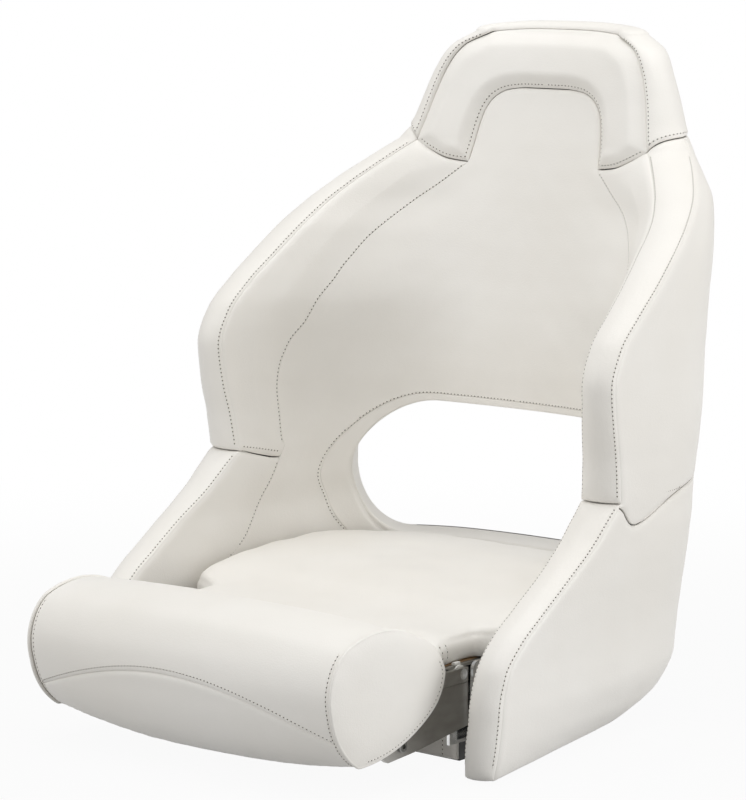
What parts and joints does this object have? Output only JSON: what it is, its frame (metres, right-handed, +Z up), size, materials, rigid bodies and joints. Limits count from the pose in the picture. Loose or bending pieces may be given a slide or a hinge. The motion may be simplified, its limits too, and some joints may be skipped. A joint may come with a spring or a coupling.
{
  "type": "helm seat",
  "caption": "Upholstered bucket helm seat with a flip-up front bolster, a seat cushion, an open lower back, curved side wings and a horseshoe headrest.",
  "frame": {"origin": "middle of the four mounting inserts on the seat's flat underside", "axes": "+X to the right seen from the front, -Y towards the front edge where the knees go, +Z up"},
  "size_m": [0.5624, 0.658, 0.712],
  "materials": {
    "vinyl": "matt cream marine vinyl with a fine grain",
    "moulded_shell": "moulded, dark grey",
    "plywood": "sealed marine plywood",
    "stainless": "satin",
    "polished_steel": "polished",
    "satin_aluminium": "satin anodised",
    "nylon": "natural",
    "bronze": "plain",
    "dark_bolt": "black oxide"
  },
  "bodies": {
    "bucket": {"arm_pad_left": "vinyl", "arm_pad_right": "vinyl", "side_bolster_left": "vinyl", "side_bolster_right": "vinyl", "back_opening_ring": "vinyl", "back_panel": "vinyl", "headrest_pad": "vinyl", "arm_rim_left": "vinyl", "arm_rim_right": "vinyl", "shoulder_rim_left": "vinyl", "shoulder_rim_right": "vinyl", "lower_back_cover": "vinyl", "upper_back_cover": "vinyl", "headrest_cover": "vinyl", "seat_cushion": "vinyl", "front_apron": "vinyl", "tub_core": "moulded_shell", "floor_pan": "moulded_shell", "base_board": "plywood", "cushion_board": "plywood", "mounting_inserts": "stainless", "base_screws": "stainless", "bracket_bolts": "stainless", "hinge_bracket_left": "polished_steel", "stop_pin_left": "polished_steel", "pivot_screw_left": "stainless", "hinge_washer_left": "nylon", "side_rail_left": "satin_aluminium", "rail_buffer_left": "nylon", "hinge_bracket_right": "polished_steel", "stop_pin_right": "polished_steel", "pivot_screw_right": "stainless", "hinge_washer_right": "nylon", "side_rail_right": "satin_aluminium", "rail_buffer_right": "nylon"},
    "bolster": {"bolster_board": "plywood", "bolster_pad": "vinyl", "bolster_cap_left": "vinyl", "bolster_cap_right": "vinyl", "swing_arm_left": "satin_aluminium", "hinge_bar_left": "satin_aluminium", "hinge_bush_left": "bronze", "arm_screws_left": "stainless", "arm_bolt_left": "dark_bolt", "swing_arm_right": "satin_aluminium", "hinge_bar_right": "satin_aluminium", "hinge_bush_right": "bronze", "arm_screws_right": "stainless", "arm_bolt_right": "dark_bolt"}
  },
  "joints": [
    {"name": "bolster_flip", "type": "hinge", "parent": "bucket", "child": "bolster", "pos_m": [0, -0.158, 0.0905], "axis": [-1, 0, 0], "range_deg": [0, 96]}
  ]
}
